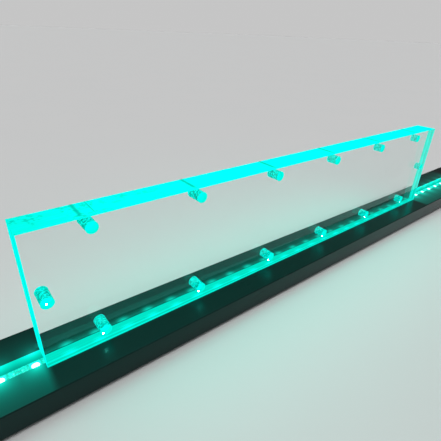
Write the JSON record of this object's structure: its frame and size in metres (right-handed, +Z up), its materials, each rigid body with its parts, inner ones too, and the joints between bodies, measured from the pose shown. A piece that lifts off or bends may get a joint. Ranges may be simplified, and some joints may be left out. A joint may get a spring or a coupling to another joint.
{
  "type": "led strip batten",
  "caption": "Low black grooved bar with LED tape in its groove, edge-lighting a clear drilled panel that stands on it.",
  "frame": {"origin": "under the middle of the bar, on the surface that its feet stand on", "axes": "+X along the bar towards the power socket, +Y to the back, +Z up"},
  "size_m": [0.7186, 0.0516, 0.0941],
  "materials": {
    "black_anodised": "satin",
    "black_moulded": "satin",
    "black_steel": "satin",
    "nickel": "satin",
    "tape_board": "satin",
    "adhesive": "matte",
    "led_package": "satin",
    "clear_acrylic": "polished",
    "rubber": "matte",
    "red_insulation": "satin",
    "black_insulation": "satin"
  },
  "bodies": {
    "batten": {"base_bar": "black_anodised", "end_cap_left": "black_moulded", "end_cap_right": "black_moulded", "cap_screw_left_front": "black_steel", "cap_screw_left_back": "black_steel", "cap_screw_right_front": "black_steel", "cap_screw_right_back": "black_steel", "led_tape": "tape_board", "tape_adhesive": "adhesive", "led_01": "led_package", "led_02": "led_package", "led_03": "led_package", "led_04": "led_package", "led_05": "led_package", "led_06": "led_package", "led_07": "led_package", "led_08": "led_package", "led_09": "led_package", "led_10": "led_package", "led_11": "led_package", "led_12": "led_package", "led_13": "led_package", "led_14": "led_package", "led_15": "led_package", "led_16": "led_package", "led_17": "led_package", "led_18": "led_package", "led_19": "led_package", "led_20": "led_package", "led_21": "led_package", "led_22": "led_package", "led_23": "led_package", "led_24": "led_package", "led_25": "led_package", "led_26": "led_package", "led_27": "led_package", "led_28": "led_package", "led_29": "led_package", "led_30": "led_package", "led_31": "led_package", "led_32": "led_package", "led_33": "led_package", "led_34": "led_package", "led_35": "led_package", "led_36": "led_package", "led_37": "led_package", "led_38": "led_package", "led_39": "led_package", "power_socket": "black_moulded", "socket_nut": "nickel", "lead_plus": "red_insulation", "lead_minus": "black_insulation", "foot_front_left": "rubber", "foot_front_right": "rubber", "foot_back_left": "rubber", "foot_back_right": "rubber"},
    "panel": {"light_panel": "clear_acrylic"}
  },
  "joints": [
    {"name": "panel_lift", "type": "slide", "parent": "batten", "child": "panel", "axis": [0, 0, 1], "range_m": [0, 0.05]}
  ]
}
